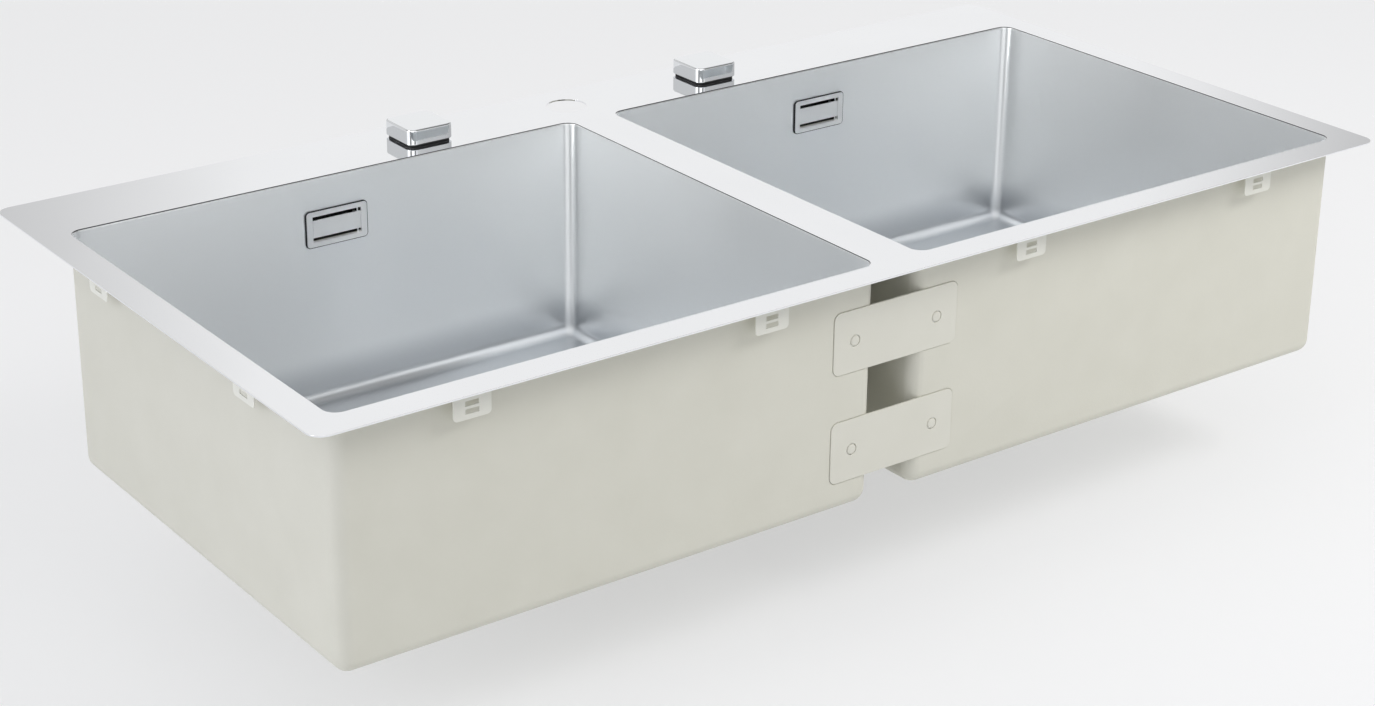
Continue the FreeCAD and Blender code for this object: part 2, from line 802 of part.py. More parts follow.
# Housing under the deck: drum chamber, neck through the deck and cable gland
def make_knob_housing(x):
    low_z = lid_z + lid_thickness
    gland_y = ledge_y - drum_radius + drum_groove_depth
    gland_start = vector(x, gland_y, drum_middle_z)
    outwards = vector(x, 0, 0)
    gland_run = (housing_width + gland_length) / 2
    outside = square_box(x, low_z, drum_housing_top_z, housing_width / 2).fuse([
        bar(x, ledge_y, drum_housing_top_z, neck_top_z, neck_radius),
        Part.makeCylinder(gland_radius, gland_run, gland_start, outwards),
    ])
    chamber_top_z = drum_z + drum_height + running_clearance
    return outside.removeSplitter().cut([
        bar(x, ledge_y, low_z - overrun, chamber_top_z, drum_chamber_radius),
        bar(x, ledge_y, low_z, neck_top_z + overrun, spindle_radius + running_clearance),
        Part.makeCylinder(gland_bore_radius, gland_run + overrun, gland_start, outwards),
    ])


# Lid under the drum chamber
def make_housing_lid(x):
    return square_box(x, lid_z, lid_z + lid_thickness, housing_width / 2)


# Hexagon nut on the deck, hidden by the knob
def make_knob_nut(x):
    corner = knob_nut_across / math.sqrt(3)
    points = []
    for index in range(6):
        angle = math.radians(60 * index)
        points.append(vector(x + corner * math.cos(angle), ledge_y + corner * math.sin(angle), deck_top))
    hexagon = Part.Face(Part.makePolygon(points + points[:1])).extrude(z_axis * knob_nut_height)
    bore = bar(
        x, ledge_y, deck_top - overrun, deck_top + knob_nut_height + overrun, neck_radius + thread_clearance
    )
    return hexagon.cut(bore)


# Foam pad between the housing and the deck
def make_knob_washer(x):
    pad = square_box(x, drum_housing_top_z, deck_under, housing_width / 2)
    return pad.cut(bar(
        x, ledge_y, drum_housing_top_z - overrun, deck_under + overrun, neck_radius + slip_clearance
    ))


# Fixed pieces of both wastes, two alike to each node
def save_wastes(places):
    save_group("waste_flanges", [make_waste_flange(x) for x in places])
    save_group("waste_seats", [make_waste_seat(x) for x in places])
    save_group("flange_seals", [tube(
        x, bowl_y, dish_floor_z, flange_under_z, flange_radius - hole_clearance, cup_radius + hole_clearance
    ) for x in places])
    save_group("waste_gaskets", [tube(
        x, bowl_y, gasket_under_z, dish_under_z, flange_radius, cup_radius + hole_clearance
    ) for x in places])
    save_group("waste_ring_nuts", [make_ring_nut(x) for x in places])
    save_group("waste_collars", [make_waste_collar(x) for x in places])
    save_group("waste_bodies", [make_waste_body(x) for x in places])
    save_group("waste_body_seals", [tube(
        x, bowl_y, body_shoulder_z, cup_bottom_z, cup_radius, chamber_radius
    ) for x in places])


# Fixed pieces of both overflows, two alike to each node
def save_overflows(places):
    save_group("overflow_gaskets", [make_overflow_gasket(x) for x in places])
    save_group("overflow_housings", [make_overflow_housing(x) for x in places])
    save_group("overflow_pipes", [make_overflow_pipe(x) for x in places])


# Fixed pieces of both knobs, two alike to each node
def save_knob_seats(places):
    save_group("knob_housings", [make_knob_housing(x) for x in places])
    save_group("housing_lids", [make_housing_lid(x) for x in places])
    save_group("knob_nuts", [make_knob_nut(x) for x in places])
    save_group("knob_washers", [make_knob_washer(x) for x in places])


# Pieces that turn with one knob
def save_knob(x, word):
    save("knob_cap_" + word, make_knob_cap(x))
    save("knob_insert_" + word, make_knob_insert(x))
    save("knob_spindle_" + word, make_knob_spindle(x))


# Pieces that rise in one waste
def save_strainer(x, word):
    save("strainer_basket_" + word, make_basket(x))
    save("strainer_seal_" + word, tube(
        x, bowl_y, strainer_seal_low_z, basket_low_z, strainer_seal_radius,
        basket_boss_radius + slip_clearance,
    ))
    save("lifter_pin_" + word, make_lifter(x))


def build_sink():
    os.makedirs("parts", exist_ok=True)
    front_braces = make_braces(bowl_front - bowl_wall, -1)
    back_braces = make_braces(bowl_back + bowl_wall, 1)
    welds = make_welds(bowl_front - bowl_wall, -1) + make_welds(bowl_back + bowl_wall, 1)
    save("deck_plate", make_deck())
    save("rim_tape", make_tape())
    save_group("brace_plates", front_braces + back_braces)
    save_group("brace_welds", welds)
    make_tabs()
    save_wastes((bowl_x(-1), bowl_x(1)))
    save_overflows((bowl_x(-1), bowl_x(1)))
    save_knob_seats((-knob_offset, knob_offset))
    for side, word in ((-1, "left"), (1, "right")):
        save("bowl_" + word, make_bowl(side))
        save("sound_coat_" + word, make_coat(side, front_braces + back_braces + welds))
        save("overflow_cover_" + word, make_overflow_cover(bowl_x(side)))
        save_knob(side * knob_offset, word)
        save_strainer(bowl_x(side), word)


build_sink()
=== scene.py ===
import bpy
import bmesh
import math
from mathutils import Matrix, Vector


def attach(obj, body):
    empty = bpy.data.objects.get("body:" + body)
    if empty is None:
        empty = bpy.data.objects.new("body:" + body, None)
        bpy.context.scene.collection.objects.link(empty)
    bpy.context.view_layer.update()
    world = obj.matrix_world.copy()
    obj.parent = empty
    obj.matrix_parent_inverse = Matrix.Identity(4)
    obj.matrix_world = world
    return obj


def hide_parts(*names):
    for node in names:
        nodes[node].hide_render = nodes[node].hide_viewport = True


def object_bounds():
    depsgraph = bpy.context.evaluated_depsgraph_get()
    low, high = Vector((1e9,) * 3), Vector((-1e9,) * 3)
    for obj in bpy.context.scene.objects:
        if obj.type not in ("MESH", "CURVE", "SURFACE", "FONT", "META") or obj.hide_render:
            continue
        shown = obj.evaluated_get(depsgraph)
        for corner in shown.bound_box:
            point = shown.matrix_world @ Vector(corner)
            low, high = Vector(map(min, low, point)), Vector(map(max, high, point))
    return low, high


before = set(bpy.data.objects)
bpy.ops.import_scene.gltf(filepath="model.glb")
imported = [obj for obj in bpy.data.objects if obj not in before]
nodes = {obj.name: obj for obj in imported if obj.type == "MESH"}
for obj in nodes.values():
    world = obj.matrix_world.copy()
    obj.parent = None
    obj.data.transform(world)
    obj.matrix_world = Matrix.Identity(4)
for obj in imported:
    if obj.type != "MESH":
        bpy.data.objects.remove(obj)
cadLow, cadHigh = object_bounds()

# lengths below are in millimetres unless a note says otherwise
mm = 0.001
sides = ((-1, "Left"), (1, "Right"))


# colours are written as sRGB hex and used as linear values
def hexToLinear(code):
    values = []
    for start in (1, 3, 5):
        value = int(code[start:start + 2], 16) / 255
        values.append(value / 12.92 if value <= 0.04045 else ((value + 0.055) / 1.055) ** 2.4)
    return (*values, 1.0)


# one node with its settings, its fixed input values and its links
def addNode(tree, kind, settings=None, values=None, links=None):
    node = tree.nodes.new(kind)
    for name, value in (settings or {}).items():
        setattr(node, name, value)
    for name, value in (values or {}).items():
        node.inputs[name].default_value = value
    for name, source in (links or {}).items():
        tree.links.new(source, node.inputs[name])
    return node


def newMaterial(name):
    material = bpy.data.materials.new(name)
    material.use_nodes = True
    tree = material.node_tree
    tree.nodes.clear()
    output = addNode(tree, "ShaderNodeOutputMaterial")
    shader = addNode(tree, "ShaderNodeBsdfPrincipled")
    tree.links.new(shader.outputs["BSDF"], output.inputs["Surface"])
    return material, tree, shader


# stainless steel sheet polished like a mirror: crisp reflections, a trace of waviness from rolling
polishedSheet = {"colour": "#eff0f2", "tint": "#ebecee", "roughness": 0.05, "wavePitch": 90.0,
                 "waveHeight": 0.004}


def makePolishedStainless(name, settings):
    material, tree, shader = newMaterial(name)
    place = addNode(tree, "ShaderNodeTexCoord")
    wave = addNode(tree, "ShaderNodeTexNoise",
                   values={"Scale": 1 / (settings["wavePitch"] * mm), "Detail": 1.0},
                   links={"Vector": place.outputs["Object"]})
    tint = addNode(tree, "ShaderNodeMix", {"data_type": "RGBA"},
                   {6: hexToLinear(settings["colour"]), 7: hexToLinear(settings["tint"])},
                   {0: wave.outputs["Fac"]})
    bump = addNode(tree, "ShaderNodeBump",
                   values={"Strength": 1.0, "Distance": settings["waveHeight"] * mm},
                   links={"Height": wave.outputs["Fac"]})
    shader.inputs["Metallic"].default_value = 1.0
    shader.inputs["Roughness"].default_value = settings["roughness"]
    tree.links.new(tint.outputs[2], shader.inputs["Base Color"])
    tree.links.new(bump.outputs["Normal"], shader.inputs["Normal"])
    return material


# stainless steel with a silk finish: wide soft highlights and fine level grain lines
# real grain lines are about 0.1 mm apart and are drawn at 0.8 mm, as coarse as they need to show
# level grain spreads a light upwards and downwards, so an upright corner draws it as one thin line
# a bowl's floor spreads light evenly, and its colour is painted darker than the walls' as painted shade
silkSheet = {"colour": "#fbfdfe", "dull": "#f8fafb", "floorPaintedShade": "#cfd2d5", "roughLow": 0.31,
             "roughHigh": 0.35, "patternLow": 0.1, "patternHigh": 0.45, "grainPitch": 0.8,
             "grainLength": 45.0, "grainHeight": 0.0008, "grainSpread": 0.85, "grainTurn": 0.25,
             "cloudPitch": 160.0, "wallFoot": -150.0, "floorTop": -184.0}
# the overflow covers are ground finer, and the weld seam is coloured dark and dull as a painted shadow line
satinSheet = dict(silkSheet, colour="#fdfdfd", dull="#fafafa", roughLow=0.27, roughHigh=0.32)
seamShadowSheet = dict(silkSheet, colour="#3c3f41", dull="#34373a", roughLow=0.5, roughHigh=0.6)


def makeSilkStainless(name, settings):
    material, tree, shader = newMaterial(name)
    place = addNode(tree, "ShaderNodeTexCoord")
    along = 1 / (settings["grainLength"] * mm)
    across = 1 / (settings["grainPitch"] * mm)
    stretch = addNode(tree, "ShaderNodeMapping", values={"Scale": (along, along, across)},
                      links={"Vector": place.outputs["Object"]})
    grain = addNode(tree, "ShaderNodeTexNoise",
                    values={"Scale": 1.0, "Detail": 3.0, "Roughness": 0.6},
                    links={"Vector": stretch.outputs["Vector"]})
    cloud = addNode(tree, "ShaderNodeTexNoise",
                    values={"Scale": 1 / (settings["cloudPitch"] * mm), "Detail": 2.0},
                    links={"Vector": place.outputs["Object"]})
    pattern = addNode(tree, "ShaderNodeMath", {"operation": "MULTIPLY"},
                      links={0: grain.outputs["Fac"], 1: cloud.outputs["Fac"]})
    rough = addNode(tree, "ShaderNodeMapRange",
                    values={"From Min": settings["patternLow"], "From Max": settings["patternHigh"],
                            "To Min": settings["roughLow"], "To Max": settings["roughHigh"]},
                    links={"Value": pattern.outputs[0]})
    height = addNode(tree, "ShaderNodeSeparateXYZ", links={0: place.outputs["Object"]})
    # the floor mask, from the wall's foot down, darkens the colour as painted shade and takes the grain
    # spread away
    onFloor = addNode(tree, "ShaderNodeMapRange", {"interpolation_type": "SMOOTHSTEP"},
                      {"From Min": settings["wallFoot"] * mm, "From Max": settings["floorTop"] * mm},
                      {"Value": height.outputs["Z"]})
    tint = addNode(tree, "ShaderNodeMix", {"data_type": "RGBA"},
                   {6: hexToLinear(settings["colour"]), 7: hexToLinear(settings["dull"])},
                   {0: cloud.outputs["Fac"]})
    # painted shade: the colour turns darker from the foot of the wall down to the floor
    shaded = addNode(tree, "ShaderNodeMix", {"data_type": "RGBA"},
                     {7: hexToLinear(settings["floorPaintedShade"])},
                     {0: onFloor.outputs["Result"], 6: tint.outputs[2]})
    bump = addNode(tree, "ShaderNodeBump",
                   values={"Strength": 1.0, "Distance": settings["grainHeight"] * mm},
                   links={"Height": grain.outputs["Fac"]})
    around = addNode(tree, "ShaderNodeTangent", {"direction_type": "RADIAL", "axis": "Z"})
    spread = addNode(tree, "ShaderNodeMapRange",
                     values={"To Min": settings["grainSpread"], "To Max": 0.0},
                     links={"Value": onFloor.outputs["Result"]})
    shader.inputs["Metallic"].default_value = 1.0
    shader.inputs["Anisotropic Rotation"].default_value = settings["grainTurn"]
    tree.links.new(shaded.outputs[2], shader.inputs["Base Color"])
    tree.links.new(rough.outputs["Result"], shader.inputs["Roughness"])
    tree.links.new(spread.outputs["Result"], shader.inputs["Anisotropic"])
    tree.links.new(around.outputs["Tangent"], shader.inputs["Tangent"])
    tree.links.new(bump.outputs["Normal"], shader.inputs["Normal"])
    return material


# sprayed and stoved coat: matt, cream, with a fine orange-peel skin and faint cloudy unevenness
sprayedCoat = {"colour": "#e0dfd3", "shade": "#d8d7ca", "roughness": 0.72, "roughSpread": 0.06,
               "peelPitch": 1.6, "peelHeight": 0.07, "cloudPitch": 45.0}
# steel plates sprayed over together with the coat, and steel tabs with a paler stoved coat
sprayedPlate = dict(sprayedCoat, colour="#e3e2d7", shade="#dcdbcf", roughness=0.62, peelHeight=0.03)
stovedTab = dict(sprayedCoat, colour="#f0f0e6", shade="#eaeae0", roughness=0.6, peelHeight=0.03)


def makeSprayedCoat(name, settings):
    material, tree, shader = newMaterial(name)
    place = addNode(tree, "ShaderNodeTexCoord")
    peel = addNode(tree, "ShaderNodeTexNoise",
                   values={"Scale": 1 / (settings["peelPitch"] * mm), "Detail": 2.0},
                   links={"Vector": place.outputs["Object"]})
    cloud = addNode(tree, "ShaderNodeTexNoise",
                    values={"Scale": 1 / (settings["cloudPitch"] * mm), "Detail": 3.0},
                    links={"Vector": place.outputs["Object"]})
    tint = addNode(tree, "ShaderNodeMix", {"data_type": "RGBA"},
                   {6: hexToLinear(settings["colour"]), 7: hexToLinear(settings["shade"])},
                   {0: cloud.outputs["Fac"]})
    rough = addNode(tree, "ShaderNodeMapRange",
                    values={"To Min": settings["roughness"] - settings["roughSpread"],
                            "To Max": settings["roughness"] + settings["roughSpread"]},
                    links={"Value": peel.outputs["Fac"]})
    bump = addNode(tree, "ShaderNodeBump",
                   values={"Strength": 1.0, "Distance": settings["peelHeight"] * mm},
                   links={"Height": peel.outputs["Fac"]})
    shader.inputs["IOR"].default_value = 1.5
    tree.links.new(tint.outputs[2], shader.inputs["Base Color"])
    tree.links.new(rough.outputs["Result"], shader.inputs["Roughness"])
    tree.links.new(bump.outputs["Normal"], shader.inputs["Normal"])
    return material


# bright chrome on a casting: hard mirror with faint swirl haze from buffing
brightChrome = {"colour": "#e9ebed", "roughLow": 0.03, "roughHigh": 0.09, "hazePitch": 6.0}


def makeBrightChrome(name, settings):
    material, tree, shader = newMaterial(name)
    place = addNode(tree, "ShaderNodeTexCoord")
    haze = addNode(tree, "ShaderNodeTexNoise",
                   values={"Scale": 1 / (settings["hazePitch"] * mm), "Detail": 3.0},
                   links={"Vector": place.outputs["Object"]})
    rough = addNode(tree, "ShaderNodeMapRange",
                    values={"To Min": settings["roughLow"], "To Max": settings["roughHigh"]},
                    links={"Value": haze.outputs["Fac"]})
    shader.inputs["Base Color"].default_value = hexToLinear(settings["colour"])
    shader.inputs["Metallic"].default_value = 1.0
    tree.links.new(rough.outputs["Result"], shader.inputs["Roughness"])
    return material


# moulded plastic, rubber or foam: even colour, fine spark-eroded grain, soft shine or none
mouldedBlack = {"colour": "#1b1b1c", "shade": "#242425", "roughness": 0.45, "grainPitch": 0.5,
                "grainHeight": 0.02}
mouldedWhite = {"colour": "#e4e4e0", "shade": "#dcdcd7", "roughness": 0.38, "grainPitch": 0.7,
                "grainHeight": 0.02}
nitrileRubber = {"colour": "#202122", "shade": "#2b2c2d", "roughness": 0.75, "grainPitch": 0.4,
                 "grainHeight": 0.03}
foamStrip = {"colour": "#3a3b3c", "shade": "#4a4b4c", "roughness": 0.9, "grainPitch": 0.6,
             "grainHeight": 0.12}


def makeMoulded(name, settings):
    material, tree, shader = newMaterial(name)
    place = addNode(tree, "ShaderNodeTexCoord")
    grain = addNode(tree, "ShaderNodeTexNoise",
                    values={"Scale": 1 / (settings["grainPitch"] * mm), "Detail": 2.0},
                    links={"Vector": place.outputs["Object"]})
    tint = addNode(tree, "ShaderNodeMix", {"data_type": "RGBA"},
                   {6: hexToLinear(settings["colour"]), 7: hexToLinear(settings["shade"])},
                   {0: grain.outputs["Fac"]})
    bump = addNode(tree, "ShaderNodeBump",
                   values={"Strength": 1.0, "Distance": settings["grainHeight"] * mm},
                   links={"Height": grain.outputs["Fac"]})
    shader.inputs["Roughness"].default_value = settings["roughness"]
    tree.links.new(tint.outputs[2], shader.inputs["Base Color"])
    tree.links.new(bump.outputs["Normal"], shader.inputs["Normal"])
    return material


polishedStainless = makePolishedStainless("polishedStainless", polishedSheet)
silkStainless = makeSilkStainless("silkStainless", silkSheet)
satinStainless = makeSilkStainless("satinStainless", satinSheet)
seamShadowSteel = makeSilkStainless("seamShadowStainless", seamShadowSheet)
soundCoat = makeSprayedCoat("sprayedSoundCoat", sprayedCoat)
sprayedSteel = makeSprayedCoat("sprayedSteel", sprayedPlate)
coatedSteel = makeSprayedCoat("coatedSteel", stovedTab)
chromePlate = makeBrightChrome("brightChrome", brightChrome)
blackPlastic = makeMoulded("blackNylon", mouldedBlack)
whitePlastic = makeMoulded("whitePolypropylene", mouldedWhite)
blackRubber = makeMoulded("nitrileRubber", nitrileRubber)
foamTape = makeMoulded("closedCellFoam", foamStrip)
print("materials made")


def newPiece(name, bm, material, body, sharpAngle=35):
    mesh = bpy.data.meshes.new(name)
    bm.to_mesh(mesh)
    bm.free()
    piece = bpy.data.objects.new(name, mesh)
    bpy.context.collection.objects.link(piece)
    mesh.materials.append(material)
    mesh.shade_smooth()
    mesh.set_sharp_from_angle(angle=math.radians(sharpAngle))
    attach(piece, body)
    return piece


# small rounded edges that catch the light
easing = {"segments": 2, "angle": 40}


def easeEdges(piece, width):
    bevel = piece.modifiers.new("easedEdges", "BEVEL")
    bevel.width = width * mm
    bevel.segments = easing["segments"]
    bevel.limit_method = "ANGLE"
    bevel.angle_limit = math.radians(easing["angle"])
    bevel.harden_normals = True
    bevel.use_clamp_overlap = True


# points nearer than these distances are one point, and faces within the flat angle are one face
merging = {"distance": 0.001, "cadDistance": 0.002, "bowlDistance": 0.005, "flatAngle": 0.5}


# merged copy of a CAD node's mesh with its flat faces joined again, named after the node
def copyNode(node, material, body, edge=0.0, sharpAngle=35):
    first, *others = node.split("_")
    name = first + "".join(word.title() for word in others)
    bm = bmesh.new()
    bm.from_mesh(nodes[node].data)
    bmesh.ops.remove_doubles(bm, verts=bm.verts, dist=merging["cadDistance"] * mm)
    bmesh.ops.dissolve_limit(bm, angle_limit=math.radians(merging["flatAngle"]), verts=bm.verts,
                             edges=bm.edges)
    piece = newPiece(name, bm, material, body, sharpAngle)
    if edge:
        easeEdges(piece, edge)
    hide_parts(node)
    return piece


# point on a level circle
def roundPoint(x, y, z, radius, degrees):
    angle = math.radians(degrees)
    return Vector((x + radius * math.cos(angle), y + radius * math.sin(angle), z))


# points round a rounded rectangle, evenly matched from ring to ring
def roundedRing(x, y, z, halfLength, halfWidth, radius, cornerSteps, sideSteps=1):
    centres = [(x + sx * (halfLength - radius), y + sy * (halfWidth - radius))
               for sx, sy in ((1, 1), (-1, 1), (-1, -1), (1, -1))]
    points = []
    for quarter, centre in enumerate(centres):
        for step in range(cornerSteps + 1):
            points.append(roundPoint(*centre, z, radius, 90 * quarter + 90 * step / cornerSteps))
        last = points[-1]
        following = (quarter + 1) % 4
        target = roundPoint(*centres[following], z, radius, 90 * following)
        for step in range(1, sideSteps):
            points.append(last.lerp(target, step / sideSteps))
    return points


# points round an upright rounded plate that faces along Y
def plateRing(x, y, z, halfLength, halfHeight, corner, cornerSteps=6):
    flat = roundedRing(0, 0, 0, halfLength, halfHeight, corner, cornerSteps)
    return [Vector((x + point.x, y, z + point.y)) for point in flat]


def joinRings(bm, rings, close=False):
    made = [[bm.verts.new(point * mm) for point in ring] for ring in rings]
    count = len(made[0])
    pairs = list(zip(made, made[1:])) + ([(made[-1], made[0])] if close else [])
    for lower, upper in pairs:
        for index in range(count):
            after = (index + 1) % count
            bm.faces.new((lower[index], lower[after], upper[after], upper[index]))
    return made


# closed upright plate, for the cutters
def addPlate(bm, x, z, halfLength, halfHeight, corner, lowY, highY):
    rings = [plateRing(x, y, z, halfLength, halfHeight, corner) for y in (lowY, highY)]
    for ring in joinRings(bm, rings):
        bm.faces.new(ring)


# takes a closed form out of a piece
def subtract(piece, bm):
    bmesh.ops.recalc_face_normals(bm, faces=bm.faces)
    mesh = bpy.data.meshes.new("cutter")
    bm.to_mesh(mesh)
    bm.free()
    cutter = bpy.data.objects.new("cutter", mesh)
    bpy.context.collection.objects.link(cutter)
    cut = piece.modifiers.new("cut", "BOOLEAN")
    cut.object = cutter
    cut.solver = "EXACT"
    graph = bpy.context.evaluated_depsgraph_get()
    result = bpy.data.meshes.new_from_object(piece.evaluated_get(graph))
    piece.modifiers.remove(cut)
    piece.data = result
    bpy.data.objects.remove(cutter)


# flat deck of polished sheet; the edge towards the weld stays sharp, the others are rolled over
deck = {"length": 1023.8, "width": 510.0, "under": 1.0, "top": 2.2, "corner": 12.0, "cornerSteps": 12,
        "edge": 0.35, "edgeSegments": 3, "bowlX": 253.4, "bowlY": -25.25, "openHalfLength": 232.5,
        "openHalfWidth": 203.75, "openCorner": 11.0, "openSteps": 10, "ledgeY": 216.25,
        "tapRadius": 17.5, "knobX": 150.0, "knobHole": 10.3, "holeStep": 5}


def makeDeck():
    bm = bmesh.new()
    top = deck["top"]
    outline = roundedRing(0, 0, top, deck["length"] / 2, deck["width"] / 2, deck["corner"],
                          deck["cornerSteps"])
    openings = [roundedRing(side * deck["bowlX"], deck["bowlY"], top, deck["openHalfLength"],
                            deck["openHalfWidth"], deck["openCorner"], deck["openSteps"])
                for side, word in sides]
    holes = [[roundPoint(x, deck["ledgeY"], top, radius, angle) for angle in range(0, 360, deck["holeStep"])]
             for x, radius in ((0, deck["tapRadius"]), (-deck["knobX"], deck["knobHole"]),
                               (deck["knobX"], deck["knobHole"]))]
    edges = []
    rolled = set()
    for loops, isRolled in (([outline], True), (openings, False), (holes, True)):
        for loop in loops:
            verts = [bm.verts.new(point * mm) for point in loop]
            for pair in zip(verts, verts[1:] + verts[:1]):
                edges.append(bm.edges.new(pair))
                if isRolled:
                    rolled.add(pair)
    bmesh.ops.triangle_fill(bm, use_beauty=True, edges=edges, normal=(0, 0, 1))
    weight = bm.edges.layers.float.new("bevel_weight_edge")
    for edge in bm.edges:
        if tuple(edge.verts) in rolled or tuple(reversed(edge.verts)) in rolled:
            edge[weight] = 1.0
    copied = bmesh.ops.extrude_face_region(bm, geom=bm.faces[:])
    moving = [item for item in copied["geom"] if isinstance(item, bmesh.types.BMVert)]
    bmesh.ops.translate(bm, verts=moving, vec=(0, 0, (deck["under"] - top) * mm))
    bmesh.ops.recalc_face_normals(bm, faces=bm.faces)
    piece = newPiece("deckSheet", bm, polishedStainless, "sink", sharpAngle=30)
    bevel = piece.modifiers.new("rolledEdge", "BEVEL")
    bevel.width = deck["edge"] * mm
    bevel.segments = deck["edgeSegments"]
    bevel.limit_method = "WEIGHT"
    bevel.harden_normals = True
    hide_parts("deck_plate")


makeDeck()
print("deck made")


# pressed bowl: a lip under the deck, flat walls, a rounded foot, a floor that falls to a sunken dish
# dishTurn is the middle of the dish's rounding, from its wall and from its floor
bowl = {"halfLength": 231.5, "halfWidth": 202.75, "top": 1.6, "floor": -193.8, "wall": 1.0,
        "corner": 10.0, "foot": 10.0, "lip": 0.9, "land": 4.0, "fall": 3.0, "dishRadius": 57.5,
        "dishFloor": -200.8, "dishDraft": 0.3, "dishEdge": 0.5, "dishRounding": 1.5,
        "dishTurn": (0.7, 0.4), "drainRadius": 44.0, "cornerSteps": 8, "sideSteps": 24,
        "lipSteps": 5, "footSteps": 8, "floorSteps": 10, "holeLength": 47.0, "holeHeight": 21.5,
        "holeCorner": 3.0, "holeZ": -41.6, "holeInside": 3.0, "holeOutside": 5.0}
# the upright corners are ground by hand after pressing, and their deeper grain spreads light the most
# it begins and is full at these distances from the bowl's middle, where the corner is rounded
cornerGrind = {"beginX": 222.2, "fullX": 223.6, "beginY": 193.45, "fullY": 194.85, "grainSpread": 1.0}


def grindCorners(material):
    tree = material.node_tree
    shader = next(node for node in tree.nodes if node.type == "BSDF_PRINCIPLED")
    wallSpread = shader.inputs["Anisotropic"].links[0].from_socket
    place = addNode(tree, "ShaderNodeTexCoord")
    parts = addNode(tree, "ShaderNodeSeparateXYZ", links={0: place.outputs["Object"]})
    eitherSide = addNode(tree, "ShaderNodeMath", {"operation": "ABSOLUTE"},
                         links={0: parts.outputs["X"]})
    reach = []
    for axis, source in (("X", eitherSide.outputs[0]), ("Y", parts.outputs["Y"])):
        offset = addNode(tree, "ShaderNodeMath", {"operation": "SUBTRACT"},
                         {1: deck["bowl" + axis] * mm}, {0: source})
        away = addNode(tree, "ShaderNodeMath", {"operation": "ABSOLUTE"},
                       links={0: offset.outputs[0]})
        reach.append(addNode(tree, "ShaderNodeMapRange",
                             values={"From Min": cornerGrind["begin" + axis] * mm,
                                     "From Max": cornerGrind["full" + axis] * mm},
                             links={"Value": away.outputs[0]}))
    inCorner = addNode(tree, "ShaderNodeMath", {"operation": "MULTIPLY"},
                       links={0: reach[0].outputs["Result"], 1: reach[1].outputs["Result"]})
    spread = addNode(tree, "ShaderNodeMix", values={3: cornerGrind["grainSpread"]},
                     links={0: inCorner.outputs[0], 2: wallSpread})
    tree.links.new(spread.outputs[0], shader.inputs["Anisotropic"])


def ringAt(x, inset, z):
    return roundedRing(x, deck["bowlY"], z, bowl["halfLength"] - inset, bowl["halfWidth"] - inset,
                       max(bowl["corner"] - inset, 0.0), bowl["cornerSteps"], bowl["sideSteps"])


# a circle of as many points as a ring, with the ring's corners at its diagonals
def circleAt(x, radius, z):
    points = []
    for quarter in range(4):
        diagonal = roundPoint(x, deck["bowlY"], z, radius, 45 + 90 * quarter)
        points += [diagonal] * (bowl["cornerSteps"] + 1)
        for step in range(1, bowl["sideSteps"]):
            points.append(roundPoint(x, deck["bowlY"], z, radius,
                                     45 + 90 * quarter + 90 * step / bowl["sideSteps"]))
    return points


# rings from the foot of the wall to the drain, on a skin grown outwards
def bowlSkin(x, growth):
    rings = []
    floor = bowl["floor"] - growth
    foot = bowl["foot"] + growth
    for step in range(bowl["footSteps"] + 1):
        angle = math.radians(90 * step / bowl["footSteps"])
        rings.append(ringAt(x, bowl["foot"] - foot * math.cos(angle),
                            bowl["floor"] + bowl["foot"] - foot * math.sin(angle)))
    dish = bowl["dishRadius"] + growth
    edge = ringAt(x, bowl["foot"] + bowl["land"], floor)
    circle = circleAt(x, dish, floor - bowl["fall"])
    for step in range(bowl["floorSteps"] + 1):
        share = step / bowl["floorSteps"]
        rings.append([first.lerp(second, share) for first, second in zip(edge, circle)])
    low = bowl["dishFloor"] - growth
    turnIn, turnUp = bowl["dishTurn"]
    for radius, z in ((dish - bowl["dishDraft"], floor - bowl["fall"] - bowl["dishEdge"]),
                      (dish - bowl["dishDraft"], low + bowl["dishRounding"]),
                      (dish - turnIn, low + turnUp), (dish - bowl["dishRounding"], low),
                      (bowl["drainRadius"], low)):
        rings.append(circleAt(x, radius, z))
    return rings


def makeBowl(side, word):
    x = side * deck["bowlX"]
    lip = bowl["lip"]
    bm = bmesh.new()
    inner = [ringAt(x, -bowl["wall"], bowl["top"])]
    for step in range(bowl["lipSteps"] + 1):
        angle = math.radians(90 * step / bowl["lipSteps"])
        inner.append(ringAt(x, -lip + lip * math.sin(angle), bowl["top"] - lip + lip * math.cos(angle)))
    inner += bowlSkin(x, 0.0)
    outer = bowlSkin(x, bowl["wall"])
    joinRings(bm, inner + outer[::-1], close=True)
    bmesh.ops.remove_doubles(bm, verts=bm.verts, dist=merging["bowlDistance"] * mm)
    bmesh.ops.dissolve_degenerate(bm, edges=bm.edges, dist=merging["distance"] * mm)
    bmesh.ops.recalc_face_normals(bm, faces=bm.faces)
    piece = newPiece("bowlShell" + word, bm, silkStainless, "sink", sharpAngle=50)
    opening = bmesh.new()
    back = deck["bowlY"] + bowl["halfWidth"]
    addPlate(opening, x, bowl["holeZ"], bowl["holeLength"] / 2, bowl["holeHeight"] / 2,
             bowl["holeCorner"], back - bowl["holeInside"], back + bowl["holeOutside"])
    subtract(piece, opening)
    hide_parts("bowl_" + word.lower())


# seam where the deck's cut edge is laser-welded to the bowl's lip, flush round the opening; its dark colour
# is a painted shadow line
seam = {"low": 1.4, "high": 2.12, "near": -0.9, "far": -1.0}


